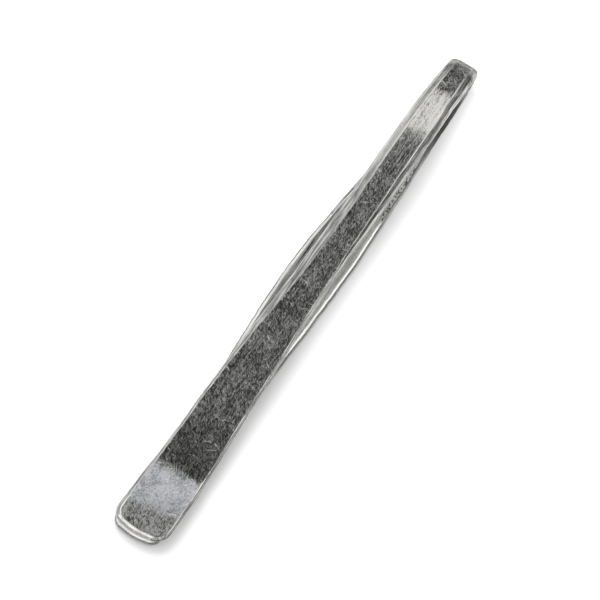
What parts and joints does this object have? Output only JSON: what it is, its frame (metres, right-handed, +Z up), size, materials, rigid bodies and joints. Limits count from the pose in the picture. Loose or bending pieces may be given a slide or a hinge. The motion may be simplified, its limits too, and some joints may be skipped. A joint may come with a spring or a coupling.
{
  "type": "tie clip",
  "caption": "Slide tie clip forged from wire: a flat bar with a rounded paddle tip, folded over a broad spring leaf that grips tie and shirt placket.",
  "frame": {"origin": "under the middle of the clip's length, on the centre line of the front bar, on the plane that the back leaf rests on", "axes": "+X from the paddle tip to the fold, +Y across the bar, +Z up through the front bar's face"},
  "size_m": [0.057, 0.0061, 0.0038],
  "materials": {
    "oxidised_silver": "silver blackened on its faces and rubbed bright along its edges"
  },
  "bodies": {
    "leaf": {"back_leaf": "oxidised_silver", "spring_fold": "oxidised_silver"},
    "bar": {"front_bar": "oxidised_silver"}
  },
  "joints": [
    {"name": "fold_flex", "type": "hinge", "parent": "leaf", "child": "bar", "pos_m": [0.02668, 0, 0.00182], "axis": [0, 1, 0], "range_deg": [0, 5], "stiffness_Nm_per_rad": 0.6, "springref_deg": -1.72, "deforming": ["spring_fold"]}
  ]
}
